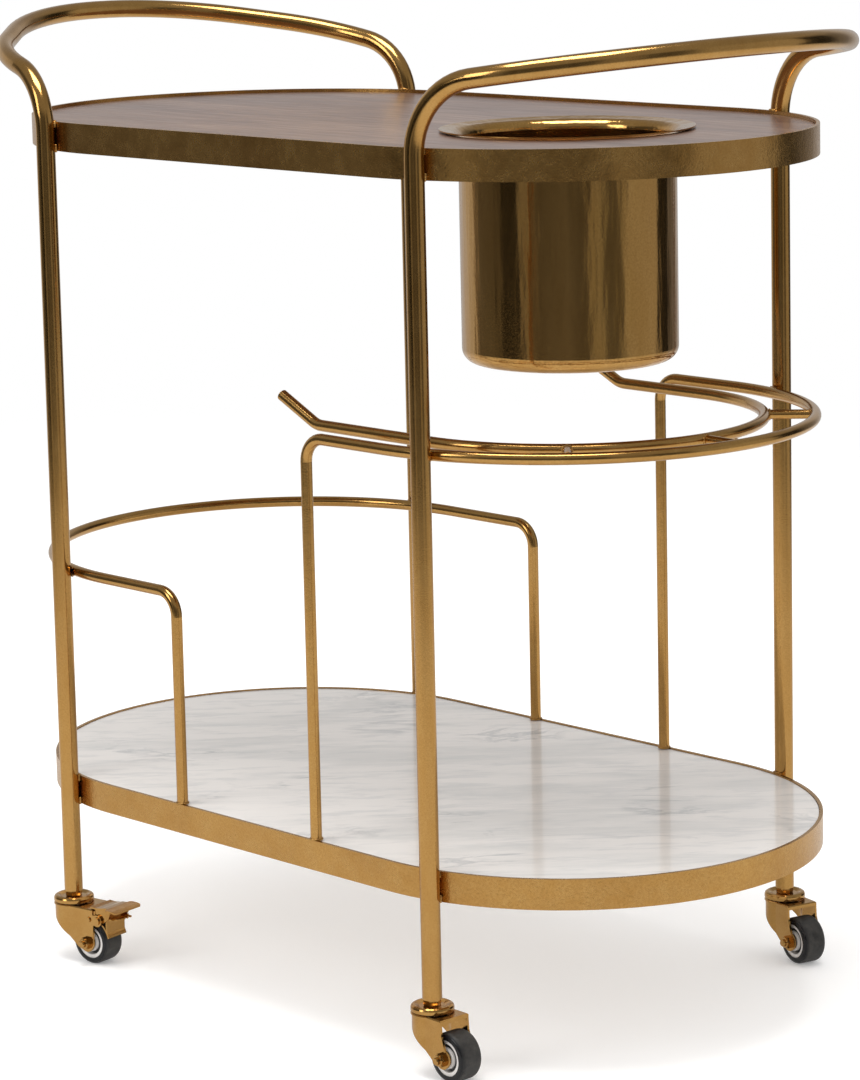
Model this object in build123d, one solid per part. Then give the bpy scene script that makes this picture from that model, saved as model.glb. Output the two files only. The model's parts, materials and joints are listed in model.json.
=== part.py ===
"""Two-tier bar cart with a lift-out ice bucket, stemware rack and four swivel casters.

The cart stands on z = 0. X runs along its length, Y across it, and the origin is on the floor
midway between the four legs. All sizes are in millimetres.
"""

from build123d import *
from math import cos, radians, sin, sqrt, tan
import os

# ---- driving dimensions ----------------------------------------------------------------------
TUBE_D = 16.0            # leg and handle tube
TUBE_WALL = 1.2
ROD_D = 9.5              # gallery and stemware rods

TRAY_STRAIGHT = 353.0    # between the centres of the trays' round ends
BAND_R = 209.5           # outer radius of the trays' round ends
BAND_H = 25.0
BAND_T = 3.0
UPPER_TOP = 733.5        # top edge of the upper band
LOWER_TOP = 163.0        # top edge of the lower band

LEG_X = 227.3
LEG_BOTTOM = 60.5        # open ends of the legs

# Each handle: height of its knee corners, reach beyond the legs, rise to the crown, how far a
# knee's bend takes up of each run, and fullness: 0.707 is an ellipse, and less is more pointed.
RIGHT_HANDLE = {"knee_z": 780.6, "reach": 175.6, "rise": 25.8, "knee": 53.0, "full": 0.717}
LEFT_HANDLE = {"knee_z": 768.5, "reach": 187.6, "rise": 43.9, "knee": 44.0, "full": 0.685}
HANDLE_HEADING = 12.0    # degrees that a handle turns inward as it leaves its knee

WOOD_T = 15.0
WOOD_DROP = 3.0          # wood surface below the band's top edge
MARBLE_T = 12.0
MARBLE_DROP = 1.0
PAD_T = 1.5
PANEL_GAP = 0.4          # between a panel and its band
SCREW_R = 2.0
SCREW_LENGTH = 14.0
STRAP_W = 22.0
STRAP_T = 3.0
UPPER_STRAPS_X = (-240.0, -100.0, 40.0, 315.0)
LOWER_STRAPS_X = (-240.0, -80.0, 80.0, 240.0)

LOW_RAIL_Z = 344.0
LOW_RAIL_POSTS_X = (-82.0, -67.0)      # front post, back post
HIGH_RAIL_Z = 495.0
HIGH_RAIL_POSTS_X = (87.0, 93.0)
POST_BEND_R = 20.0
RACK_GAP = 46.0                        # stemware rod to high rail, centre to centre
RACK_SHIFT = 6.0                       # of the stemware rod's round end, out along X
RACK_KINKS_X = (50.0, 89.0)            # where the stemware rod turns up, front and back
RACK_KINK_LENGTH = 47.0
RACK_KINK_ANGLE = 26.0
RACK_STUB_ANGLES = (-45.0, -4.0, 42.0)  # around the tray's round end

BUCKET_X = 184.5
BUCKET_R = 88.5
BUCKET_BOTTOM = 542.8
BUCKET_CORNER_R = 12.0
BUCKET_WALL = 1.0
BUCKET_FLARE_R = 8.0
BUCKET_LIP_R = 104.0
LIP_RISE = 1.5                         # from the flare to the lip's edge
LIP_GAP = 0.3                          # under the flare, above the wood
HOLE_CLEAR = 1.2                       # wood hole around the flare

WHEEL_R = 20.0
WHEEL_W = 21.6
TYRE_ROUND = 4.0
CORE_R = 14.6
HUB_R = 8.5
WEB_HALF = 2.5                         # half the thickness of the wheel core's web
BEARING_R = 6.5
BEARING_W = 4.0
TRAIL = 27.0                           # from the swivel axis to the axle
FORK_W = 30.0
FORK_T = 1.8
FORK_TOP = 50.8
FORK_BACK_R = 16.6
HOOD_X = 26.0                          # front of the hood, from the swivel axis
BRAKE_HOOD_X = 34.8                    # the same on a fork with a brake
LOBE_R = 8.0                           # round end of a cheek, about the axle
EAR_R = 5.2                            # brake pin's lugs
AXLE_R = 3.0
RUNNING_FIT = 0.05
STEM_R = 4.0
RACE_R = 17.5
RACE_BOTTOM = 54.1                     # of the race plate's dished floor
RACE_T = 1.1
BALL_R = 1.6
BALL_CIRCLE_R = 10.5
BALL_COUNT = 12
PIN_X = 39.6                           # brake pedal's pivot, from the swivel axis
PIN_Z = 41.5                           # and from the floor
PIN_R = 2.0
TAB_W = 35.0                           # brake pedal's foot tab, across
SHOE_CLEAR = 2.6                       # brake shoe to tyre, released

# Each caster: side along X, side along Y, angle that it trails at, and whether it has a brake.
CASTERS = {
    "front_left": {"side": (-1, -1), "turn": 9.0, "brake": True},
    "front_right": {"side": (1, -1), "turn": -2.0, "brake": False},
    "back_right": {"side": (1, 1), "turn": -14.0, "brake": False},
    "back_left": {"side": (-1, 1), "turn": 0.0, "brake": True},
}

# ---- places worked out from them -------------------------------------------------------------
TUBE_R = TUBE_D / 2
ROD_R = ROD_D / 2
END_X = TRAY_STRAIGHT / 2
LEG_Y = sqrt((BAND_R + TUBE_R) ** 2 - (LEG_X - END_X) ** 2)
INNER_R = BAND_R - BAND_T
WOOD_TOP = UPPER_TOP - WOOD_DROP
WOOD_BOTTOM = WOOD_TOP - WOOD_T
MARBLE_TOP = LOWER_TOP - MARBLE_DROP
MARBLE_BOTTOM = MARBLE_TOP - MARBLE_T
RAIL_R = BAND_R - ROD_R                # rails run just inside the legs
RACK_R = RAIL_R - RACK_GAP

os.makedirs("parts", exist_ok=True)


def save(name, shape):
    """Writes one node's solids as parts/NAME.step."""
    export_step(shape, f"parts/{name}.step")


def stadium(radius, bottom, height):
    """A solid with a tray's outline, its round ends of the given radius."""
    return Pos(0, 0, bottom) * extrude(SlotCenterToCenter(TRAY_STRAIGHT, 2 * radius), height)


def ring(outer_r, inner_r, bottom, height):
    """A flat ring about the Z axis."""
    return Pos(0, 0, bottom) * extrude(Circle(outer_r) - Circle(inner_r), height)


def spun(points):
    """Revolves a closed outline of (radius, z) points about the Z axis."""
    outline = make_face(Polyline(*[(r, 0, z) for r, z in points], close=True))
    return revolve(outline, Axis.Z)


def across(shape):
    """Turns a shape made about the Z axis so that its axis lies along Y."""
    return Rot(90, 0, 0) * shape


def sheet_plate(points, thickness, y_middle):
    """A flat plate in the XZ plane, of the given thickness, its middle at y_middle."""
    face = make_face(Polyline(*[(x, 0, z) for x, z in points], close=True))
    return Pos(0, y_middle, 0) * extrude(face, thickness / 2, dir=(0, 1, 0), both=True)


# ---- tube frames -----------------------------------------------------------------------------
def handle_corners(handle, side):
    """Corner points of one leg, handle, leg path, whose arch is close to half an ellipse.

    The arch leaves each knee at HANDLE_HEADING, runs parallel to the ellipse's tangent at its
    45 degree point on the shoulder, and is square to the cart's length at the crown.
    """
    reach, rise = handle["reach"], handle["rise"]
    slope = LEG_Y / reach
    start = tan(radians(HANDLE_HEADING))
    bulge = 2 * handle["full"] - 1
    shoulder_u = LEG_Y * bulge / (slope - start)
    shoulder_v = -LEG_Y + start * shoulder_u
    crown_v = -LEG_Y * bulge
    half = [(0, -LEG_Y), (shoulder_u, shoulder_v), (reach, crown_v)]
    flat = half + [(u, -v) for u, v in reversed(half)]
    arch = [(side * (LEG_X + u), v, handle["knee_z"] + rise * u / reach) for u, v in flat]
    return [(side * LEG_X, -LEG_Y, LEG_BOTTOM), *arch, (side * LEG_X, LEG_Y, LEG_BOTTOM)]


def bend_radius(points, index, setback):
    """Radius of the bend at a corner that starts and ends the given distance from it."""
    here = Vector(*points[index])
    before, after = Vector(*points[index - 1]) - here, Vector(*points[index + 1]) - here
    turn = radians(180 - before.get_angle(after))
    return setback / tan(turn / 2)


def run_length(points, index):
    """Distance from a corner to the next one."""
    return (Vector(*points[index + 1]) - Vector(*points[index])).length


def tube_along(path, radius, wall=0.0):
    """A round bar, or a tube if it has a wall, swept along a path."""
    section = Circle(radius) - Circle(radius - wall) if wall else Circle(radius)
    return sweep(Plane(origin=path @ 0, z_dir=path % 0) * section, path=path)


def end_frame(handle, side):
    """Two legs and the handle that joins them, bent from one tube."""
    points = handle_corners(handle, side)
    knee = handle["knee"]
    shoulder = run_length(points, 1) - knee - 1.0
    crown = min(run_length(points, 2) - shoulder - 1.0, 0.49 * run_length(points, 3))
    setbacks = [knee, shoulder, crown, crown, shoulder, knee]
    radii = [bend_radius(points, i + 1, setback) for i, setback in enumerate(setbacks)]
    return tube_along(FilletPolyline(*points, radius=radii), TUBE_R, TUBE_WALL)


def leg_places():
    """Centres of the four legs."""
    return [(c["side"][0] * LEG_X, c["side"][1] * LEG_Y) for c in CASTERS.values()]


def leg_plug():
    """Threaded insert that is pressed into a leg's open end and takes a caster's stem."""
    return ring(TUBE_R - TUBE_WALL - 0.02, STEM_R + RUNNING_FIT, LEG_BOTTOM, 24)


# ---- trays -----------------------------------------------------------------------------------
def tray_band(top):
    """Flat bar rolled to the tray's outline and standing on its edge."""
    outer = stadium(BAND_R, top - BAND_H, BAND_H)
    return outer - stadium(INNER_R, top - BAND_H, BAND_H)


def straps(places, top):
    """Flat bars across the inside of a band, which its panel rests on."""
    inside = stadium(INNER_R, top - STRAP_T, STRAP_T)
    bars = [Pos(x, 0, top - STRAP_T / 2) * Box(STRAP_W, 3 * BAND_R, STRAP_T) for x in places]
    return [bar & inside for bar in bars]


def screw_places():
    """Two screws in each upper strap."""
    return [(x, side * 120.0) for x in UPPER_STRAPS_X for side in (-1, 1)]


def screw():
    """Pan-head wood screw that points up, the underside of its head at z = 0."""
    head = Pos(0, 0, -1.1) * Cylinder(4.0, 2.2)
    head = chamfer(head.edges().group_by(Axis.Z)[0], 0.8)
    shank = Pos(0, 0, (SCREW_LENGTH - 3) / 2) * Cylinder(SCREW_R, SCREW_LENGTH - 3)
    tip = Pos(0, 0, SCREW_LENGTH - 1.5) * Cone(SCREW_R, 0.4, 3)
    return head + shank + tip


def hole_radius():
    """The wood's hole clears the bucket's flare, and the lip covers it."""
    return BUCKET_R + BUCKET_FLARE_R + HOLE_CLEAR


def wood_top():
    """Wood panel with the bucket's hole and blind holes for its screws."""
    panel = stadium(INNER_R - PANEL_GAP, WOOD_BOTTOM, WOOD_T)
    panel -= Pos(BUCKET_X, 0, WOOD_BOTTOM + WOOD_T / 2) * Cylinder(hole_radius(), 2 * WOOD_T)
    depth = SCREW_LENGTH - STRAP_T + 0.5
    for x, y in screw_places():
        panel -= Pos(x, y, WOOD_BOTTOM + depth / 2) * Cylinder(SCREW_R + RUNNING_FIT, depth)
    return panel


def marble_pads():
    """Soft discs between the marble and its straps."""
    disc = Cylinder(8.0, PAD_T)
    bottom = MARBLE_BOTTOM - PAD_T / 2
    return [Pos(x, y, bottom) * disc for x in LOWER_STRAPS_X for y in (-110.0, 110.0)]


# ---- rods ------------------------------------------------------------------------------------
def gallery(posts_x, side, height):
    """Rod from the band, up, round the tray's end and down again. Front post first."""
    foot = LOWER_TOP
    arch = side * END_X
    legs = [
        FilletPolyline((x, y, foot), (x, y, height), (arch, y, height), radius=POST_BEND_R)
        for x, y in zip(posts_x, (-RAIL_R, RAIL_R))
    ]
    end = ThreePointArc(
        (arch, -RAIL_R, height), (arch + side * RAIL_R, 0, height), (arch, RAIL_R, height)
    )
    path = Wire([*legs[0].edges(), *end.edges(), *legs[1].edges()])
    section = Plane(origin=(posts_x[0], -RAIL_R, foot), z_dir=(0, 0, 1)) * Circle(ROD_R)
    return sweep(section, path=path)


def stemware_rack():
    """Inner rod, level with the high rail, whose two ends turn up to lead the glasses in."""
    rise = radians(RACK_KINK_ANGLE)
    arch = END_X + RACK_SHIFT
    tips = [
        (x - RACK_KINK_LENGTH * cos(rise), HIGH_RAIL_Z + RACK_KINK_LENGTH * sin(rise))
        for x in RACK_KINKS_X
    ]
    runs = [
        FilletPolyline(
            (tip_x, y, tip_z), (x, y, HIGH_RAIL_Z), (arch, y, HIGH_RAIL_Z), radius=24
        )
        for (tip_x, tip_z), x, y in zip(tips, RACK_KINKS_X, (-RACK_R, RACK_R))
    ]
    end = ThreePointArc(
        (arch, -RACK_R, HIGH_RAIL_Z), (arch + RACK_R, 0, HIGH_RAIL_Z), (arch, RACK_R, HIGH_RAIL_Z)
    )
    path = Wire([*runs[0].edges(), *end.edges(), *runs[1].edges()])
    start = Vector(tips[0][0], -RACK_R, tips[0][1])
    aim = Vector(RACK_KINKS_X[0], -RACK_R, HIGH_RAIL_Z) - start
    return sweep(Plane(origin=start, z_dir=aim) * Circle(ROD_R), path=path)


def rack_stubs():
    """Short rods that hold the stemware rod to the high rail, cut to fit between the two."""
    stubs = []
    for angle in RACK_STUB_ANGLES:
        start = RACK_R + RACK_SHIFT * cos(radians(angle))
        rod = Pos((start + RAIL_R) / 2, 0, 0) * Rot(0, 90, 0) * Cylinder(ROD_R - 0.8, RAIL_R - start)
        rod = Rot(0, 0, angle) * rod
        rod -= Pos(RACK_SHIFT, 0, 0) * Torus(RACK_R, ROD_R)
        rod -= Torus(RAIL_R, ROD_R)
        stubs.append(Pos(END_X, 0, HIGH_RAIL_Z) * rod)
    return stubs


# ---- ice bucket ------------------------------------------------------------------------------
def bucket_profile(inset):
    """Right-hand outline of the bucket's outer skin, or of its inner skin at the wall's inset."""
    lip = WOOD_TOP + LIP_GAP + inset
    wall = BUCKET_R - inset
    corner = BUCKET_CORNER_R - inset
    flare = BUCKET_FLARE_R
    bottom = BUCKET_BOTTOM + inset
    bend = sqrt(0.5)
    flare_mid = (wall + flare * (1 - bend), lip - flare * (1 - bend))
    corner_mid = (wall - corner * (1 - bend), bottom + corner * (1 - bend))
    return [
        Line((BUCKET_LIP_R, 0, lip + LIP_RISE), (wall + flare, 0, lip)),
        ThreePointArc(
            (wall + flare, 0, lip), (flare_mid[0], 0, flare_mid[1]), (wall, 0, lip - flare)
        ),
        Line((wall, 0, lip - flare), (wall, 0, bottom + corner)),
        ThreePointArc(
            (wall, 0, bottom + corner),
            (corner_mid[0], 0, corner_mid[1]),
            (wall - corner, 0, bottom),
        ),
        Line((wall - corner, 0, bottom), (0, 0, bottom)),
    ]


def ice_bucket():
    """Spun metal bucket that hangs in the wood top by its flared lip."""
    outer, inner = bucket_profile(0.0), bucket_profile(BUCKET_WALL)
    lip = WOOD_TOP + LIP_GAP + LIP_RISE
    closing = [
        Line((0, 0, BUCKET_BOTTOM), (0, 0, BUCKET_BOTTOM + BUCKET_WALL)),
        Line((BUCKET_LIP_R, 0, lip), (BUCKET_LIP_R, 0, lip + BUCKET_WALL)),
    ]
    edges = [edge for line in (*outer, *inner, *closing) for edge in line.edges()]
    return Pos(BUCKET_X, 0, 0) * revolve(make_face(edges), Axis.Z)


# ---- casters, made at the origin and trailing towards +X -------------------------------------
def caster_stem():
    """Threaded stem, hex collar and the shank that is riveted over under the fork."""
    stem = Pos(0, 0, LEG_BOTTOM + 10) * Cylinder(STEM_R, 20)
    stem = chamfer(stem.edges().group_by(Axis.Z)[-1], 0.8)
    seat = RACE_BOTTOM + RACE_T
    collar = Pos(0, 0, seat) * extrude(RegularPolygon(7.3, 6), LEG_BOTTOM - seat)
    collar = chamfer(collar.edges().group_by(Axis.Z)[0], 0.5)
    rivet_top = FORK_TOP - FORK_T - RUNNING_FIT
    shank = Pos(0, 0, (seat + rivet_top) / 2) * Cylinder(3.5, seat - rivet_top)
    rivet = Pos(0, 0, rivet_top) * spun([(0, 0), (5.5, 0), (5.5, -0.8), (3.5, -2.0), (0, -2.2)])
    return stem + collar + shank + rivet


def race_plate():
    """Dished washer with a rolled rim that stays with the stem and caps the balls."""
    low, floor = RACE_BOTTOM, RACE_BOTTOM + RACE_T
    return spun(
        [(3.6, floor), (10.6, floor), (12.2, floor + 0.9), (14.0, floor + 1.6), (15.6, floor + 1.4),
         (16.9, floor + 0.6), (RACE_R, floor - 0.7), (RACE_R, low - 2.2), (16.2, low - 2.2),
         (15.8, low - 0.7), (15.0, low), (3.6, low)]
    )


def race_balls():
    """Balls between the race plate and the fork."""
    ball = Sphere(BALL_R)
    middle = FORK_TOP + BALL_R + 0.05
    step = 360 / BALL_COUNT
    return [Rot(0, 0, i * step) * Pos(BALL_CIRCLE_R, 0, middle) * ball for i in range(BALL_COUNT)]


def fork_plan():
    """Outline of the yoke seen from above: round behind the stem, straight beside the wheel."""
    front = PIN_X
    plan = Circle(FORK_BACK_R) + Pos(front / 2, 0) * Rectangle(front, FORK_W)
    corner_x = sqrt(FORK_BACK_R**2 - (FORK_W / 2) ** 2)
    corners = [v for v in plan.vertices() if abs(v.X - corner_x) < 0.1]
    return fillet(corners, 6.0)


def fork_side(hood):
    """Outline of the yoke seen from the side: a deep back, then a slant down to the axle."""
    top = FORK_TOP + 1
    outline = make_face(
        Polyline(
            (-20, 0, top), (-20, 0, 45.0), (TRAIL - 7.4, 0, 13.5), (TRAIL + 7.4, 0, 16.0),
            (hood + 0.6, 0, 38.0), (hood, 0, 46.0), (hood, 0, top), close=True,
        )
    )
    lobe = Pos(TRAIL, 0, WHEEL_R) * across(Cylinder(LOBE_R, 4 * FORK_W))
    low = Pos(TRAIL, 0, WHEEL_R / 2) * Box(2.2 * LOBE_R, 4 * FORK_W, WHEEL_R)
    return (extrude(outline, 2 * FORK_W, both=True, dir=(0, 1, 0)) - low) + lobe


def brake_lugs():
    """Lugs that carry the brake pin in front of the cheeks, and a rivet behind each one."""
    lugs = []
    for side in (-1, 1):
        place = Pos(PIN_X, side * (FORK_W - FORK_T) / 2, PIN_Z)
        lugs.append(place * across(Cylinder(EAR_R, FORK_T)))
        lugs.append(place * Pos(-EAR_R / 2 - 0.4, 0, 0) * Box(EAR_R + 0.8, FORK_T, 2 * EAR_R - 1.2))
        lugs.append(Pos(PIN_X - 9.6, side * (FORK_W / 2 + 0.6), PIN_Z) * across(Cylinder(2.4, 1.2)))
    return lugs


def fork(brake):
    """Pressed yoke: a round top, and a skirt that is deep behind and open to the front."""
    hood = BRAKE_HOOD_X if brake else HOOD_X
    plan = fork_plan()
    bottom = WHEEL_R - 10.0
    shell = extrude(plan, FORK_TOP - bottom, dir=(0, 0, 1))
    shell -= extrude(offset(plan, -FORK_T), FORK_TOP - FORK_T - bottom, dir=(0, 0, 1))
    body = (Pos(0, 0, bottom) * shell) & fork_side(hood)
    body += Pos(0, 0, FORK_TOP - FORK_T / 2) * Cylinder(RACE_R, FORK_T)
    body = chamfer(body.faces().sort_by(Axis.Z)[-1].outer_wire().edges(), 0.9)
    if brake:
        body += brake_lugs()
        body -= Pos(PIN_X, 0, PIN_Z) * across(Cylinder(PIN_R + RUNNING_FIT, 2 * FORK_W))
    else:
        body += Pos(hood - FORK_T / 2, 0, FORK_TOP - 2.2) * Box(FORK_T, FORK_W - FORK_T, 2.4)
    body -= Cylinder(3.55, 200)
    body -= Pos(TRAIL, 0, WHEEL_R) * across(Cylinder(AXLE_R + RUNNING_FIT, 2 * FORK_W))
    return body


def axle_bolt():
    """Hex bolt from the far cheek, its thread standing out of the nut on the near one."""
    half = FORK_W / 2
    shank = Pos(0, 0, 1.5) * Cylinder(AXLE_R, FORK_W + 12)
    shank = chamfer(shank.edges().group_by(Axis.Z)[-1], 0.6)
    head = Pos(0, 0, -half - 3.6) * extrude(RegularPolygon(5.6, 6), 3.6)
    head = chamfer(head.edges().group_by(Axis.Z)[0], 0.5)
    limit = Pos(0, 0, 100 - half - 3.0) * Cylinder(20, 200)
    return Pos(TRAIL, 0, WHEEL_R) * across(shank & limit) + Pos(TRAIL, 0, WHEEL_R) * across(head)


def axle_nut():
    """Locking nut with a rounded collar."""
    half = FORK_W / 2
    nut = Pos(0, 0, half) * extrude(RegularPolygon(5.6, 6), 3.6)
    nut += Pos(0, 0, half + 3.6) * extrude(Circle(4.6), 1.4)
    nut = chamfer(nut.edges().group_by(Axis.Z)[-1], 0.6)
    nut -= Pos(0, 0, half) * Cylinder(AXLE_R + 0.02, 30)
    return Pos(TRAIL, 0, WHEEL_R) * across(nut)


def tyre():
    """Soft tread with rounded shoulders."""
    half, edge = WHEEL_W / 2, TYRE_ROUND
    solid = ring(WHEEL_R, CORE_R, -half, WHEEL_W)
    rims = solid.edges().filter_by(GeomType.CIRCLE).filter_by(lambda e: e.radius > CORE_R + 1)
    return Pos(TRAIL, 0, WHEEL_R) * across(fillet(rims, edge))


def wheel_core():
    """Hard centre: a rim, a recessed web and a hub with a seat for each bearing."""
    half = WHEEL_W / 2
    core = spun(
        [(4.2, -half + BEARING_W), (BEARING_R, -half + BEARING_W), (BEARING_R, -half),
         (HUB_R, -half), (HUB_R + 0.6, -WEB_HALF), (CORE_R - 3.6, -WEB_HALF),
         (CORE_R - 3.0, -half + 1.0), (CORE_R - 0.01, -half + 1.0),
         (CORE_R - 0.01, half - 1.0), (CORE_R - 3.0, half - 1.0), (CORE_R - 3.6, WEB_HALF),
         (HUB_R + 0.6, WEB_HALF), (HUB_R, half), (BEARING_R, half),
         (BEARING_R, half - BEARING_W), (4.2, half - BEARING_W)]
    )
    return Pos(TRAIL, 0, WHEEL_R) * across(core)


def wheel_bearings():
    """A bearing in each side of the hub, proud of it so that it rubs the cheek, not the hub."""
    half = WHEEL_W / 2
    one = ring(BEARING_R - 0.02, AXLE_R + RUNNING_FIT, half - BEARING_W, BEARING_W)
    one += ring(4.4, AXLE_R + RUNNING_FIT, half, FORK_W / 2 - FORK_T - half - 0.1)
    place = Pos(TRAIL, 0, WHEEL_R)
    return [place * across(one), place * across(Rot(180, 0, 0) * one)]


def brake_pin():
    """Rivet that the pedal turns on."""
    half = FORK_W / 2
    pin = Cylinder(PIN_R, FORK_W)
    heads = [Pos(0, 0, side * (half + 0.7)) * Cylinder(3.4, 1.4) for side in (-1, 1)]
    return Pos(PIN_X, 0, PIN_Z) * across(pin + heads[0] + heads[1])


def brake_pedal():
    """Plate over the hood with a broad foot tab in front, and two cheeks down to the pin."""
    inner = FORK_W / 2 - FORK_T - 0.3
    cheek = [
        (-3.4, -2.4), (-1.2, -3.6), (1.2, -3.6), (6.0, -1.5), (12.0, 3.0), (14.0, 8.0),
        (12.0, 11.6), (6.1, 11.3), (3.0, 10.5), (-3.4, 10.1), (-3.8, 2.0),
    ]
    plate = [
        (-9.0, 11.2), (-3.0, 10.9), (3.0, 11.4), (6.0, 12.1), (12.5, 12.5),
        (12.5, 11.1), (6.2, 10.7), (3.2, 10.0), (-3.0, 9.5), (-9.0, 9.8),
    ]
    tab = [(11.5, 12.5), (20.0, 12.0), (24.0, 11.0), (24.0, 9.6), (19.8, 10.6), (11.5, 11.1)]
    cheeks = [sheet_plate(cheek, 1.4, side * (inner - 0.7)) for side in (-1, 1)]
    pedal = cheeks[0] + cheeks[1] + sheet_plate(plate, 2 * inner, 0)
    rounded = extrude(RectangleRounded(12.5, TAB_W, 3.0), 20, both=True)
    pedal += sheet_plate(tab, TAB_W, 0) & (Pos(17.75, 0, 10) * rounded)
    pedal = Pos(PIN_X, 0, PIN_Z) * pedal
    return pedal - Pos(PIN_X, 0, PIN_Z) * across(Cylinder(PIN_R + RUNNING_FIT, 2 * FORK_W))


def brake_shoe():
    """Curved leaf under the pedal that is pressed onto the tread, with a toothed front edge."""
    inner_r = WHEEL_R + SHOE_CLEAR
    width = 2 * (FORK_W / 2 - FORK_T - 0.3 - 1.4) - 0.1
    band = extrude(Circle(inner_r + 1.4) - Circle(inner_r), width / 2, both=True)
    leaf = Pos(TRAIL, 0, WHEEL_R) * across(band)
    window = Pos(PIN_X + 7.2, 0, PIN_Z - 9.2) * Rot(0, 58, 0) * Box(13.0, width, 9.0)
    stalk = Pos(PIN_X + 8.0, 0, PIN_Z - 0.7) * Box(1.4, width, 22.6)
    teeth = [
        Pos(PIN_X + 15.6, y, PIN_Z + 2.0) * Box(8.0, 1.6, 1.6) for y in (-8.0, -4.0, 0.0, 4.0, 8.0)
    ]
    keeper = Pos(PIN_X + 10.6, 0, PIN_Z + 2.0) * Box(6.6, width, 1.6)
    room = Pos(TRAIL, 0, WHEEL_R) * across(Cylinder(inner_r, 2 * width))
    return (leaf & window) + (stalk - room) + keeper + teeth


# ---- build -----------------------------------------------------------------------------------
def build_frame():
    """Tubes, bands, panels and rods: everything that the casters and the bucket go on."""
    save("right_end_frame", end_frame(RIGHT_HANDLE, 1))
    save("left_end_frame", end_frame(LEFT_HANDLE, -1))
    save("leg_plugs", Compound([Pos(x, y, 0) * leg_plug() for x, y in leg_places()]))
    save("upper_tray_band", tray_band(UPPER_TOP))
    save("lower_tray_band", tray_band(LOWER_TOP))
    hole = Cylinder(SCREW_R + 0.2, 400)
    holes = [Pos(x, y, WOOD_BOTTOM) * hole for x, y in screw_places()]
    drilled = [bar - holes for bar in straps(UPPER_STRAPS_X, WOOD_BOTTOM)]
    save("upper_support_straps", Compound(children=drilled))
    save("lower_support_straps", Compound(children=straps(LOWER_STRAPS_X, MARBLE_BOTTOM - PAD_T)))
    save("wood_top", wood_top())
    seat = WOOD_BOTTOM - STRAP_T
    save("wood_top_screws", Compound([Pos(x, y, seat) * screw() for x, y in screw_places()]))
    save("marble_shelf", stadium(INNER_R - PANEL_GAP, MARBLE_BOTTOM, MARBLE_T))
    save("marble_pads", Compound(marble_pads()))
    save("low_gallery_rail", gallery(LOW_RAIL_POSTS_X, -1, LOW_RAIL_Z))
    save("high_gallery_rail", gallery(HIGH_RAIL_POSTS_X, 1, HIGH_RAIL_Z))
    save("stemware_rack", stemware_rack())
    save("stemware_rack_stubs", Compound(rack_stubs()))
    save("ice_bucket", ice_bucket())


def build_caster(name, caster):
    """One caster's pieces under its leg, turned to the angle that it trails at."""
    place = Pos(caster["side"][0] * LEG_X, caster["side"][1] * LEG_Y, 0)
    turned = place * Rot(0, 0, caster["turn"])
    pieces = {
        "stem": caster_stem(), "race_plate": race_plate(), "race_balls": Compound(race_balls()),
        "fork": fork(caster["brake"]), "axle_bolt": axle_bolt(), "axle_nut": axle_nut(),
        "wheel_core": wheel_core(), "tyre": tyre(), "wheel_bearings": Compound(wheel_bearings()),
    }
    if caster["brake"]:
        pieces["brake_pin"] = brake_pin()
        pieces["brake_pedal"] = brake_pedal()
        pieces["brake_shoe"] = brake_shoe()
    for piece, shape in pieces.items():
        save(f"{name}_{piece}", turned * shape)


build_frame()
for caster_name, caster_facts in CASTERS.items():
    build_caster(caster_name, caster_facts)
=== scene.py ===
"""Looks for the bar cart: materials for every CAD node, weld beads, hub covers, floor and light.

Blender 4.5. Metres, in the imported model's frame: X along the cart, Y across it, Z up.
"""

import json
import math
import random

import bmesh
import bpy
from mathutils import Matrix, Vector


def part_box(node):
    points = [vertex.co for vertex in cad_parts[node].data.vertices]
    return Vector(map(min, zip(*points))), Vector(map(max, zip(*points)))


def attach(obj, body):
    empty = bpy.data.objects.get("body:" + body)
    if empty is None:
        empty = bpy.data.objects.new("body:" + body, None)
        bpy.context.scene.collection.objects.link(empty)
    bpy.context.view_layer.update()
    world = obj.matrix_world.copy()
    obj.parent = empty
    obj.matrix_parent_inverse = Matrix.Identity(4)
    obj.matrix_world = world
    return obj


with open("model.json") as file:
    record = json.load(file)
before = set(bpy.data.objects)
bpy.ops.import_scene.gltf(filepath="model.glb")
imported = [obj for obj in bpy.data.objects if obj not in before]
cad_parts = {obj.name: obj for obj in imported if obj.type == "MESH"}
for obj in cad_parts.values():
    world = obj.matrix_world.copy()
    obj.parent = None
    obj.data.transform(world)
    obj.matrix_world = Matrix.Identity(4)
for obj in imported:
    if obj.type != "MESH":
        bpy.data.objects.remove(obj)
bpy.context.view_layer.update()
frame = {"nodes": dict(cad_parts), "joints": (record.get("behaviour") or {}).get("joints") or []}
NODES = frame["nodes"]
CASTERS = ("front_left", "front_right", "back_right", "back_left")
MM = 0.001

# ---- camera ----------------------------------------------------------------------------------
CAMERA_YAW = 0.8114          # radians, from looking along +Y towards -X
CAMERA_PITCH = 0.1639        # radians, downward
CAMERA_ROLL = -0.0215
CAMERA_DISTANCE = 3.2262
CAMERA_TARGET = Vector((0.016, 0.0, 0.4667))
CAMERA_LENS = 126.33         # mm, on a 36 mm long side
CAMERA_SHIFT_Y = -0.1019


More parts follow.
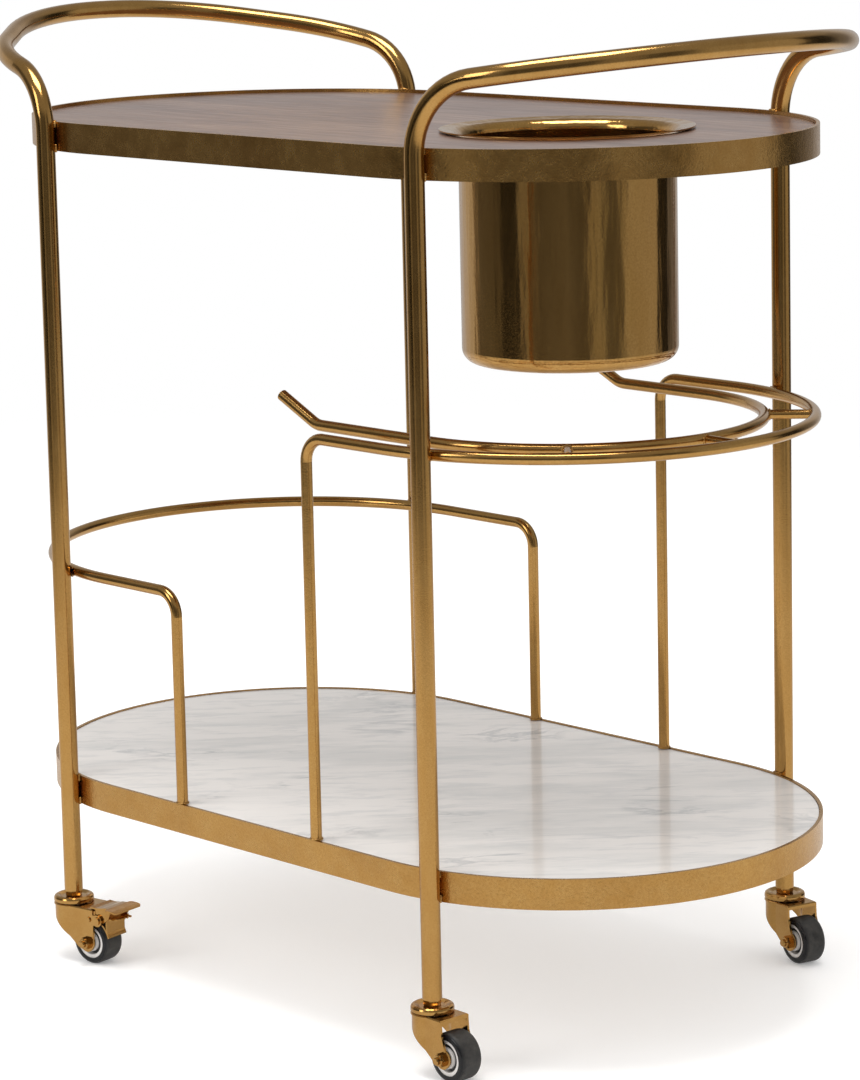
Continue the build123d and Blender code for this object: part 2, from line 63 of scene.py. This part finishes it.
def make_camera():
    """A three-quarter view from the front, a little above the top."""
    data = bpy.data.cameras.new("camera")
    data.lens = CAMERA_LENS
    data.sensor_width = 36.0
    data.shift_y = CAMERA_SHIFT_Y
    camera = bpy.data.objects.new("camera", data)
    turn = Matrix.Rotation(CAMERA_YAW, 3, "Z") @ Matrix.Rotation(math.pi / 2 - CAMERA_PITCH, 3, "X")
    turn = turn @ Matrix.Rotation(CAMERA_ROLL, 3, "Z")
    place = CAMERA_TARGET - turn @ Vector((0, 0, -1)) * CAMERA_DISTANCE
    camera.matrix_world = Matrix.Translation(place) @ turn.to_4x4()
    bpy.context.scene.collection.objects.link(camera)
    bpy.context.scene.camera = camera


# ---- node helpers ----------------------------------------------------------------------------
def node(tree, kind, inputs=None, **settings):
    """Adds a node. Inputs that are sockets are linked, and the others are set."""
    made = tree.nodes.new(kind)
    for name, value in settings.items():
        setattr(made, name, value)
    for name, value in (inputs or {}).items():
        if isinstance(value, bpy.types.NodeSocket):
            tree.links.new(value, made.inputs[name])
        else:
            made.inputs[name].default_value = value
    return made


def ramp(tree, factor, stops, interpolation="LINEAR"):
    """A colour ramp whose stops are (position, grey or colour)."""
    made = node(tree, "ShaderNodeValToRGB", {"Fac": factor})
    made.color_ramp.interpolation = interpolation
    elements = made.color_ramp.elements
    while len(elements) < len(stops):
        elements.new(0.5)
    for element, (position, value) in zip(elements, stops):
        element.position = position
        colour = value if isinstance(value, tuple) else (value, value, value)
        element.color = (*colour, 1.0)
    return made.outputs["Color"]


def noise(tree, where, scale, detail=4.0, roughness=0.55, distortion=0.0):
    """A noise value, about 0 to 1."""
    inputs = {"Vector": where, "Scale": scale, "Detail": detail, "Roughness": roughness}
    inputs["Distortion"] = distortion
    return node(tree, "ShaderNodeTexNoise", inputs).outputs["Fac"]


def stretched(tree, where, scale):
    """Coordinates scaled by a different amount along each axis."""
    return node(tree, "ShaderNodeMapping", {"Vector": where, "Scale": scale}).outputs["Vector"]


def spread(tree, value, low, high):
    """Maps a noise value's usual 0.3 to 0.7 onto low to high."""
    inputs = {"Value": value, "From Min": 0.3, "From Max": 0.7, "To Min": low, "To Max": high}
    return node(tree, "ShaderNodeMapRange", inputs).outputs["Result"]


def blend_colours(tree, factor, first, second, mode="MIX"):
    """Mixes two colours, each a socket or a tuple."""
    made = tree.nodes.new("ShaderNodeMix")
    made.data_type = "RGBA"
    made.blend_type = mode
    for index, value in ((0, factor), (6, first), (7, second)):
        socket = made.inputs[index]
        if isinstance(value, bpy.types.NodeSocket):
            tree.links.new(value, socket)
        else:
            socket.default_value = value if index == 0 else (*value, 1.0)
    return made.outputs[2]


def bump(tree, height, strength, distance, below=None):
    """A bump node's normal, on top of another one's."""
    inputs = {"Height": height, "Strength": strength, "Distance": distance}
    if below is not None:
        inputs["Normal"] = below
    return node(tree, "ShaderNodeBump", inputs).outputs["Normal"]


def surface(name, shader_inputs):
    """An empty material with a Principled shader; returns the material, its tree and the shader."""
    material = bpy.data.materials.new(name)
    material.use_nodes = True
    tree = material.node_tree
    shader = tree.nodes["Principled BSDF"]
    for socket, value in shader_inputs.items():
        shader.inputs[socket].default_value = value
    where = node(tree, "ShaderNodeTexCoord").outputs["Object"]
    return material, tree, shader, where


def connect(tree, shader, **sockets):
    """Links sockets to the shader's inputs, whose names have underscores for spaces."""
    for name, socket in sockets.items():
        tree.links.new(socket, shader.inputs[name.replace("_", " ")])


# ---- materials -------------------------------------------------------------------------------
BRASS = (0.58, 0.335, 0.102)
BRASS_PALE = (0.70, 0.46, 0.185)
BRASS_AGED = (0.36, 0.175, 0.044)


def brass(name, roughness, patina, grain, grain_scale, waves=0.0, stretch=(1, 1, 1), wave_scale=55.0):
    """Plated steel: mottled tone, uneven gloss, a fine grain, and shallow hand-worked waves."""
    material, tree, shader, where = surface(name, {"Metallic": 1.0})
    along = stretched(tree, where, stretch)
    cloud = noise(tree, along, 14.0, 5.0)
    blot = noise(tree, along, 70.0, 3.0, 0.65)
    speck = noise(tree, where, grain_scale, 2.0)
    tone = blend_colours(tree, spread(tree, cloud, 0.0, patina), BRASS, BRASS_AGED)
    tone = blend_colours(tree, spread(tree, blot, 0.0, 0.45 * patina), tone, BRASS_PALE)
    tone = blend_colours(tree, spread(tree, speck, 0.0, 0.42), tone, BRASS_AGED)
    gloss = node(
        tree, "ShaderNodeMath",
        {0: spread(tree, blot, roughness * 0.85, roughness * 1.2), 1: spread(tree, speck, 0.0, 0.05)},
        operation="ADD",
    )
    normal = bump(tree, speck, grain, 0.0004)
    if waves:
        normal = bump(tree, noise(tree, along, wave_scale, 2.0), waves, 0.0012, normal)
    connect(tree, shader, Base_Color=tone, Roughness=gloss.outputs[0], Normal=normal)
    return material


def wood(name):
    """Lacquered plank, its grain along X, with darker figure and pores."""
    material, tree, shader, where = surface(
        name, {"Coat Weight": 0.35, "Coat Roughness": 0.22, "Specular IOR Level": 0.5}
    )
    grain_space = stretched(tree, where, (1.6, 26.0, 26.0))
    figure = noise(tree, stretched(tree, where, (1.0, 7.0, 7.0)), 3.2, 4.0, 0.5, 0.8)
    fibre = noise(tree, grain_space, 9.0, 6.0, 0.6)
    pores = noise(tree, stretched(tree, where, (6.0, 150.0, 150.0)), 12.0, 2.0)
    tone = ramp(
        tree, figure,
        [(0.30, (0.205, 0.118, 0.078)), (0.47, (0.150, 0.080, 0.052)), (0.62, (0.098, 0.047, 0.030)),
         (0.75, (0.165, 0.090, 0.060))],
    )
    tone = blend_colours(tree, spread(tree, fibre, 0.0, 0.6), tone, (0.075, 0.036, 0.024))
    tone = blend_colours(tree, ramp(tree, pores, [(0.60, 0.0), (0.68, 0.7)]), tone, (0.03, 0.015, 0.01))
    gloss = spread(tree, fibre, 0.30, 0.42)
    normal = bump(tree, fibre, 0.10, 0.0006)
    normal = bump(tree, pores, 0.10, 0.0003, normal)
    connect(tree, shader, Base_Color=tone, Roughness=gloss, Normal=normal)
    return material


def marble(name):
    """Honed white marble with faint grey streaks drawn one way and a few short, darker veins."""
    material, tree, shader, where = surface(
        name, {"Coat Weight": 0.5, "Coat Roughness": 0.05, "Subsurface Weight": 0.0}
    )
    turned = node(
        tree, "ShaderNodeMapping", {"Vector": where, "Rotation": (0.0, 0.0, math.radians(-48))}
    ).outputs["Vector"]
    drawn = stretched(tree, turned, (1.0, 4.2, 1.0))
    cloud = noise(tree, drawn, 4.5, 6.0, 0.55, 0.4)
    fleck = noise(tree, drawn, 21.0, 6.0, 0.62, 0.3)
    vein = noise(tree, stretched(tree, turned, (1.0, 2.6, 1.0)), 6.0, 7.0, 0.6, 0.7)
    patch = noise(tree, turned, 9.0, 3.0)
    tone = ramp(
        tree, cloud,
        [(0.34, (0.885, 0.84, 0.795)), (0.50, (0.85, 0.81, 0.77)), (0.62, (0.73, 0.705, 0.675)),
         (0.74, (0.82, 0.785, 0.745))],
    )
    tone = blend_colours(tree, ramp(tree, fleck, [(0.50, 0.0), (0.64, 0.50)]), tone, (0.62, 0.61, 0.60))
    there = ramp(tree, patch, [(0.50, 0.0), (0.62, 1.0)])
    veins = ramp(tree, vein, [(0.465, 0.0), (0.50, 0.60), (0.535, 0.0)])
    tone = blend_colours(tree, blend_colours(tree, 1.0, veins, there, "MULTIPLY"), tone, (0.40, 0.40, 0.41))
    gloss = spread(tree, cloud, 0.16, 0.24)
    connect(tree, shader, Base_Color=tone, Roughness=gloss, Normal=bump(tree, fleck, 0.02, 0.0002))
    return material


def plain_stuff(name, light, dark, roughness, grain, grain_scale, metallic=0.0):
    """Rubber, plastic or steel: two close tones, uneven gloss and a fine grain."""
    material, tree, shader, where = surface(name, {"Metallic": metallic})
    cloud = noise(tree, where, 60.0, 4.0)
    speck = noise(tree, where, grain_scale, 3.0)
    tone = blend_colours(tree, spread(tree, cloud, 0.0, 1.0), light, dark)
    connect(
        tree, shader, Base_Color=tone, Normal=bump(tree, speck, grain, 0.0004),
        Roughness=spread(tree, speck, roughness * 0.85, roughness * 1.15),
    )
    return material


def rubber(name):
    """Black rubber whose tread is dusty and scuffed and whose sides keep their sheen."""
    material, tree, shader, where = surface(name, {"Specular IOR Level": 0.35})
    facing = node(tree, "ShaderNodeTexCoord").outputs["Normal"]
    sideways = node(tree, "ShaderNodeSeparateXYZ", {0: facing}).outputs["Y"]
    sideways = node(tree, "ShaderNodeMath", {0: sideways}, operation="ABSOLUTE").outputs[0]
    tread = node(
        tree, "ShaderNodeMapRange",
        {"Value": sideways, "From Min": 0.35, "From Max": 0.80, "To Min": 1.0, "To Max": 0.0},
    ).outputs["Result"]
    scuff = noise(tree, where, 130.0, 6.0, 0.7)
    speck = noise(tree, where, 1100.0, 3.0)
    dust = node(
        tree, "ShaderNodeMath", {0: tread, 1: spread(tree, scuff, 0.15, 1.0)}, operation="MULTIPLY"
    ).outputs[0]
    tone = blend_colours(tree, dust, (0.006, 0.006, 0.007), (0.062, 0.057, 0.050))
    tone = blend_colours(tree, spread(tree, speck, 0.0, 0.3), tone, (0.012, 0.012, 0.012))
    gloss = blend_colours(tree, dust, (0.26, 0.26, 0.26), (0.72, 0.72, 0.72))
    connect(tree, shader, Base_Color=tone, Roughness=gloss, Normal=bump(tree, speck, 0.25, 0.0004))
    return material


def make_materials():
    """One material for each finish on the cart."""
    return {
        "tube": brass("brass_tube", 0.125, 0.55, 0.06, 900.0, 0.05, (1, 1, 0.35)),
        "rod": brass("brass_rod", 0.14, 0.50, 0.08, 900.0, 0.08),
        "band": brass("brass_band", 0.22, 0.60, 0.42, 520.0, 0.34),
        "bucket": brass("brass_bucket", 0.11, 0.55, 0.16, 620.0, 0.62, (1, 1, 0.13), 70.0),
        "caster": brass("brass_caster", 0.11, 0.60, 0.05, 1200.0, 0.10),
        "weld": brass("brass_weld", 0.34, 0.80, 0.30, 700.0, 0.3),
        "wood": wood("wood_grain"),
        "marble": marble("marble_white"),
        "tyre": rubber("tyre_rubber"),
        "core": plain_stuff("core_plastic", (0.74, 0.71, 0.68), (0.62, 0.59, 0.565), 0.34, 0.08, 1500.0),
        "dark": plain_stuff("dark_plastic", (0.022, 0.022, 0.024), (0.045, 0.043, 0.04), 0.38, 0.15, 1500.0),
        "steel": plain_stuff("bright_steel", (0.62, 0.61, 0.60), (0.45, 0.44, 0.43), 0.22, 0.10, 1500.0, 1.0),
    }


FINISHES = {
    "_end_frame": "tube", "_gallery_rail": "rod", "stemware_rack": "rod", "stemware_rack_stubs": "rod",
    "_tray_band": "band", "_support_straps": "band", "ice_bucket": "bucket", "wood_top": "wood",
    "marble_shelf": "marble", "marble_pads": "dark", "wood_top_screws": "steel", "leg_plugs": "dark",
    "_stem": "caster", "_race_plate": "caster", "_race_balls": "steel", "_fork": "caster",
    "_axle_bolt": "caster", "_axle_nut": "caster", "_wheel_core": "core", "_tyre": "tyre",
    "_wheel_bearings": "steel", "_brake_pin": "caster", "_brake_pedal": "caster",
    "_brake_shoe": "caster",
}


def finish_nodes(materials):
    """Gives each CAD node its finish by the end of its name."""
    for name, obj in NODES.items():
        ending = max((e for e in FINISHES if name.endswith(e)), key=len)
        obj.data.materials.clear()
        obj.data.materials.append(materials[FINISHES[ending]])


# ---- pieces ----------------------------------------------------------------------------------
def add_piece(name, mesh, body, material):
    """Puts a mesh in the scene as a piece of a body."""
    mesh.materials.append(material)
    for polygon in mesh.polygons:
        polygon.use_smooth = True
    obj = bpy.data.objects.new(name, mesh)
    bpy.context.scene.collection.objects.link(obj)
    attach(obj, body)
    return obj


def sweep_into(bm, path, radii, sides, closed):
    """Adds a tube along a path of points, with its own radius at each point."""
    count = len(path)
    rings = []
    for i, (point, radius) in enumerate(zip(path, radii)):
        if closed:
            ahead, behind = path[(i + 1) % count], path[i - 1]
        else:
            ahead, behind = path[min(i + 1, count - 1)], path[max(i - 1, 0)]
        along = (ahead - behind).normalized()
        first = along.orthogonal().normalized() if i == 0 else (first - along * first.dot(along)).normalized()
        second = along.cross(first)
        ring = []
        for k in range(sides):
            angle = 2 * math.pi * k / sides
            offset = (first * math.cos(angle) + second * math.sin(angle)) * radius
            ring.append(bm.verts.new(point + offset))
        rings.append(ring)
    pairs = list(zip(rings, rings[1:]))
    if closed:
        pairs.append((rings[-1], rings[0]))
    for low, high in pairs:
        shift = 0
        if low is rings[-1]:
            shift = min(range(sides), key=lambda s: (low[0].co - high[s].co).length)
        for k in range(sides):
            nxt = (k + 1) % sides
            bm.faces.new((low[k], low[nxt], high[(nxt + shift) % sides], high[(k + shift) % sides]))
    if not closed:
        bm.faces.new(list(reversed(rings[0])))
        bm.faces.new(rings[-1])


def ripple(count, radius, seed):
    """Radii of a hand-laid bead: even ripples and a little unevenness."""
    rng = random.Random(seed)
    return [radius * (1 + 0.14 * math.sin(i * 1.9) + rng.uniform(-0.08, 0.08)) for i in range(count)]


def ring_points(centre, axis, radius, count):
    """Points of a circle about an axis."""
    first = axis.orthogonal().normalized()
    second = axis.cross(first)
    angles = [2 * math.pi * i / count for i in range(count)]
    return [centre + (first * math.cos(a) + second * math.sin(a)) * radius for a in angles]


RING_STEPS = 28
RUN_STEPS = 12
BEAD_SIDES = 8


class Welds:
    """Gathers weld beads into one mesh."""

    def __init__(self):
        self.bm = bmesh.new()
        self.count = 0

    def ring(self, centre, axis, radius, thick):
        """A bead right round a rod."""
        self.count += 1
        path = ring_points(centre, axis.normalized(), radius, RING_STEPS)
        sweep_into(self.bm, path, ripple(RING_STEPS, thick, self.count), BEAD_SIDES, True)

    def run(self, start, end, thick, sag=None):
        """A short bead between two points, which may bow towards a third."""
        self.count += 1
        path = []
        for i in range(RUN_STEPS + 1):
            t = i / RUN_STEPS
            point = start.lerp(end, t)
            if sag is not None:
                point = point + sag * (4 * t * (1 - t))
            path.append(point)
        radii = ripple(RUN_STEPS + 1, thick, self.count)
        for i in (0, RUN_STEPS):
            radii[i] *= 0.35
        for i in (1, RUN_STEPS - 1):
            radii[i] *= 0.8
        sweep_into(self.bm, path, radii, BEAD_SIDES, False)

    def finish(self, name, material):
        """Makes the gathered beads a piece of the cart."""
        mesh = bpy.data.meshes.new(name)
        bmesh.ops.recalc_face_normals(self.bm, faces=self.bm.faces)
        self.bm.to_mesh(mesh)
        self.bm.free()
        piece = add_piece(name, mesh, "cart", material)
        piece.modifiers.new("smooth", "SUBSURF").levels = 1


def foot_of(name, side):
    """Centre and radius of a rod's lower end, on the front (-1) or back (+1) side."""
    low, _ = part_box(name)
    end = [v.co for v in NODES[name].data.vertices if v.co.z < low.z + 0.1 * MM and v.co.y * side > 0]
    xs, ys = [v.x for v in end], [v.y for v in end]
    centre = Vector(((min(xs) + max(xs)) / 2, (min(ys) + max(ys)) / 2, low.z))
    return centre, (max(xs) - min(xs)) / 2


def islands(name):
    """Groups of a node's vertices, one for each solid."""
    bm = bmesh.new()
    bm.from_mesh(NODES[name].data)
    bmesh.ops.remove_doubles(bm, verts=bm.verts, dist=0.001 * MM)
    left, groups = set(bm.verts), []
    while left:
        stack, group = [left.pop()], []
        while stack:
            vert = stack.pop()
            group.append(vert.co.copy())
            for edge in vert.link_edges:
                other = edge.other_vert(vert)
                if other in left:
                    left.discard(other)
                    stack.append(other)
        groups.append(group)
    bm.free()
    return groups


def middle_of(points):
    """Centre of the points' box."""
    low = Vector([min(p[i] for p in points) for i in range(3)])
    high = Vector([max(p[i] for p in points) for i in range(3)])
    return (low + high) / 2


def tray_end(side):
    """Centre, on the floor, and radius of a tray's round end."""
    low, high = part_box("upper_tray_band")
    radius = (high.y - low.y) / 2
    return Vector((side * (high.x - radius), 0, 0)), radius


def leg_axis(caster):
    """Where a leg stands, on the floor."""
    low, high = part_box(f"{caster}_race_plate")
    return Vector(((low.x + high.x) / 2, (low.y + high.y) / 2, 0))


# Upright beads at a leg, for the band's lower and upper edge: spread along the band, and the heights
# of the bead's start and end from that edge, in mm.
UPRIGHT_BEADS = ((6.0, 6.0, -0.8), (5.2, -5.0, 0.4))
UPRIGHT_THICK = 1.35
# Level beads across a leg: half the length, thickness, in mm.
BAND_BEAD = (4.4, 1.2)
RAIL_BEAD = (4.6, 1.15)
# Beads round rods: thickness, in mm.
POST_THICK = 1.0
STUB_THICK = 0.95


def level_bead(welds, middle, along, z, bead, sag=None):
    """A level bead across a leg at height z."""
    half, thick = bead
    ends = [middle + along * (hand * half * MM) for hand in (-1, 1)]
    for end in ends:
        end.z = z
    welds.run(ends[0], ends[1], thick * MM, sag)


def weld_leg_to_band(welds, touch, out, along, band):
    """Upright beads beside a leg, and level ones over and under the band."""
    low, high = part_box(band)
    for z, (reach, rise, drop) in zip((low.z, high.z), UPRIGHT_BEADS):
        for hand in (-1, 1):
            start = touch + along * (hand * reach * MM) + out * (1.3 * MM)
            start.z = z + rise * MM
            end = touch + along * (hand * reach * 0.8 * MM) + out * (0.9 * MM)
            end.z = z + drop * MM
            welds.run(start, end, UPRIGHT_THICK * MM)
    edge = touch + out * (0.4 * MM)
    for z in (low.z - 0.3 * MM, high.z + 0.1 * MM):
        level_bead(welds, edge, along, z, BAND_BEAD, out * (-1.0 * MM))


def weld_legs(welds):
    """Beads where the legs meet the two bands and the gallery rails."""
    for caster in CASTERS:
        leg = leg_axis(caster)
        side = 1 if leg.x > 0 else -1
        centre, radius = tray_end(side)
        out = (leg - centre).normalized()
        along = Vector((-out.y, out.x, 0))
        touch = centre + out * radius
        for band in ("upper_tray_band", "lower_tray_band"):
            weld_leg_to_band(welds, touch, out, along, band)
        rail = "high_gallery_rail" if side > 0 else "low_gallery_rail"
        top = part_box(rail)[1].z
        rod = foot_of(rail, -1)[1]
        for up in (-1, 1):
            level_bead(welds, touch - out * (0.6 * MM), along, top - rod + up * rod * 0.78, RAIL_BEAD)


def weld_rods(welds):
    """Beads round the posts' feet and at both ends of the stemware rack's stubs."""
    for rail in ("low_gallery_rail", "high_gallery_rail"):
        for side in (-1, 1):
            centre, radius = foot_of(rail, side)
            centre.z += 0.5 * MM
            welds.ring(centre, Vector((0, 0, 1)), radius + 0.15 * MM, POST_THICK * MM)
    centre, _ = tray_end(1)
    for stub in islands("stemware_rack_stubs"):
        middle = middle_of(stub)
        radial = Vector((middle.x - centre.x, middle.y - centre.y, 0)).normalized()
        reach = max(abs((p - middle).dot(radial)) for p in stub)
        thick = (max(p.z for p in stub) - min(p.z for p in stub)) / 2
        for end in (-1, 1):
            at = middle + radial * (end * (reach - 1.6 * MM))
            welds.ring(at, radial, thick + 0.1 * MM, STUB_THICK * MM)


def make_welds(materials):
    """All of the cart's weld beads."""
    welds = Welds()
    weld_legs(welds)
    weld_rods(welds)
    welds.finish("weld_beads", materials["weld"])


def revolve_mesh(name, profile, centre, axis, steps=48):
    """A closed outline of (radius, distance along the axis) turned about an axis."""
    axis = axis.normalized()
    first = axis.orthogonal().normalized()
    second = axis.cross(first)
    bm = bmesh.new()
    rings = []
    for i in range(steps):
        angle = 2 * math.pi * i / steps
        out = first * math.cos(angle) + second * math.sin(angle)
        rings.append([bm.verts.new(centre + out * r + axis * d) for r, d in profile])
    for i, ring in enumerate(rings):
        nxt = rings[(i + 1) % steps]
        for k in range(len(profile)):
            m = (k + 1) % len(profile)
            bm.faces.new((ring[k], nxt[k], nxt[m], ring[m]))
    bmesh.ops.recalc_face_normals(bm, faces=bm.faces)
    mesh = bpy.data.meshes.new(name)
    bm.to_mesh(mesh)
    bm.free()
    return mesh


# Outline of a hub cover in mm: radius, depth out from the middle of the wheel.
HUB_COVER = (
    (9.15, 2.55), (10.4, 2.55), (10.85, 4.0), (10.8, 6.4), (10.3, 7.2), (9.6, 7.4), (9.2, 8.6), (8.85, 8.8),
)


def make_hub_covers(materials):
    """Dark dished rings in both sides of each wheel, between its hub and its pale rim."""
    for caster in CASTERS:
        low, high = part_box(f"{caster}_tyre")
        centre = (low + high) / 2
        spin = next(j for j in frame["joints"] if j["name"] == f"{caster}_spin")
        axis = Vector(spin["axis"])
        for side, word in ((-1, "near"), (1, "far")):
            profile = [(r * MM, side * d * MM) for r, d in HUB_COVER]
            mesh = revolve_mesh(f"{caster}_hub_cover_{word}", profile, centre, axis)
            add_piece(mesh.name, mesh, f"{caster}_wheel", materials["dark"])


# ---- surroundings ----------------------------------------------------------------------------
FLOOR_RADIUS = 3.2
FLOOR_SOLID = 0.45           # share of the radius before the floor starts to fade

# Pale cards and dark flags round the set: azimuth in degrees, brightness.
CARDS = (
    (-180, 0.62), (-166, 0.55), (-158, 0.12), (-128, 0.10), (-121, 0.02), (-100, 0.02), (-95, 0.26),
    (-86, 0.22), (-80, 0.09), (-50, 0.12), (-28, 0.08), (-21, 0.30), (-10, 0.26), (-5, 0.09),
    (8, 0.12), (17, 0.40), (60, 0.46), (65, 0.02), (82, 0.02), (88, 0.16), (100, 0.22), (112, 0.50),
    (180, 0.62),
)
OVERHEAD = 0.34              # brightness of the card overhead
AMBIENT = 0.95               # light on matt surfaces
# Softboxes: place, point aimed at, width and height in metres, and power in watts.
SOFTBOXES = (
    ("overhead", (0.2, -0.3, 2.7), (0, 0, 0.3), (1.5, 1.1), 42),
    ("front", (-0.6, -2.8, 1.9), (0, 0, 0.5), (1.0, 1.4), 16),
)


def make_floor():
    """A pale floor that fades out, so that it has no far edge."""
    bm = bmesh.new()
    bmesh.ops.create_circle(bm, cap_ends=True, segments=128, radius=FLOOR_RADIUS)
    mesh = bpy.data.meshes.new("floor")
    bm.to_mesh(mesh)
    bm.free()
    floor = bpy.data.objects.new("floor", mesh)
    bpy.context.scene.collection.objects.link(floor)
    material, tree, shader, where = surface(
        "floor_paper",
        {"Roughness": 0.9, "Specular IOR Level": 0.1, "Emission Color": (1, 1, 1, 1),
         "Emission Strength": 0.20},
    )
    tone = blend_colours(tree, noise(tree, where, 3.0), (0.86, 0.855, 0.85), (0.88, 0.875, 0.87))
    mirrored = node(tree, "ShaderNodeLightPath").outputs["Is Glossy Ray"]
    tone = blend_colours(tree, mirrored, tone, (0.50, 0.49, 0.48))
    away = node(tree, "ShaderNodeVectorMath", {0: where}, operation="LENGTH").outputs["Value"]
    fade = node(
        tree, "ShaderNodeMapRange",
        {"Value": away, "From Min": FLOOR_RADIUS * FLOOR_SOLID, "From Max": FLOOR_RADIUS,
         "To Min": 1.0, "To Max": 0.0},
        interpolation_type="SMOOTHSTEP",
    ).outputs["Result"]
    connect(tree, shader, Base_Color=tone, Alpha=fade)
    mesh.materials.append(material)


def make_world():
    """White to the camera, even light on matt surfaces, and cards and flags in shiny ones."""
    world = bpy.data.worlds.new("studio")
    world.use_nodes = True
    tree = world.node_tree
    tree.nodes.clear()
    toward = node(tree, "ShaderNodeTexCoord").outputs["Generated"]
    parts = node(tree, "ShaderNodeSeparateXYZ", {0: toward}).outputs
    azimuth = node(tree, "ShaderNodeMath", {0: parts["Y"], 1: parts["X"]}, operation="ARCTAN2").outputs[0]
    turn = node(
        tree, "ShaderNodeMath", {0: azimuth, 1: 0.5 / math.pi, 2: 0.5}, operation="MULTIPLY_ADD"
    ).outputs[0]
    cards = ramp(tree, turn, [(degrees / 360 + 0.5, value) for degrees, value in CARDS])
    height = node(
        tree, "ShaderNodeMapRange", {"Value": parts["Z"], "From Min": 0.28, "From Max": 0.52},
        interpolation_type="SMOOTHSTEP",
    ).outputs["Result"]
    light = blend_colours(tree, height, cards, (OVERHEAD,) * 3)
    ray = node(tree, "ShaderNodeLightPath").outputs
    room = blend_colours(tree, ray["Is Glossy Ray"], (AMBIENT,) * 3, light)
    room = blend_colours(tree, ray["Is Camera Ray"], room, (1.0, 1.0, 1.0))
    backdrop = node(tree, "ShaderNodeBackground", {"Color": room, "Strength": 1.0})
    output = tree.nodes.new("ShaderNodeOutputWorld")
    tree.links.new(backdrop.outputs[0], output.inputs["Surface"])
    bpy.context.scene.world = world


def area_light(name, place, aim, size, power):
    """A soft rectangular light."""
    data = bpy.data.lights.new(name, "AREA")
    data.shape = "RECTANGLE"
    data.size, data.size_y = size
    data.energy = power
    light = bpy.data.objects.new(name, data)
    light.location = place
    light.rotation_euler = (Vector(aim) - Vector(place)).to_track_quat("-Z", "Y").to_euler()
    bpy.context.scene.collection.objects.link(light)


def make_lights():
    """An overhead softbox, and a weaker one beside the camera."""
    for name, place, aim, size, power in SOFTBOXES:
        area_light(name, place, aim, size, power)


def set_view():
    """Plain display colours, so that the white surroundings stay white."""
    bpy.context.scene.view_settings.view_transform = "Standard"
    bpy.context.scene.view_settings.look = "None"


make_camera()
set_view()
MATERIALS = make_materials()
finish_nodes(MATERIALS)
make_welds(MATERIALS)
make_hub_covers(MATERIALS)
make_floor()
make_world()
make_lights()
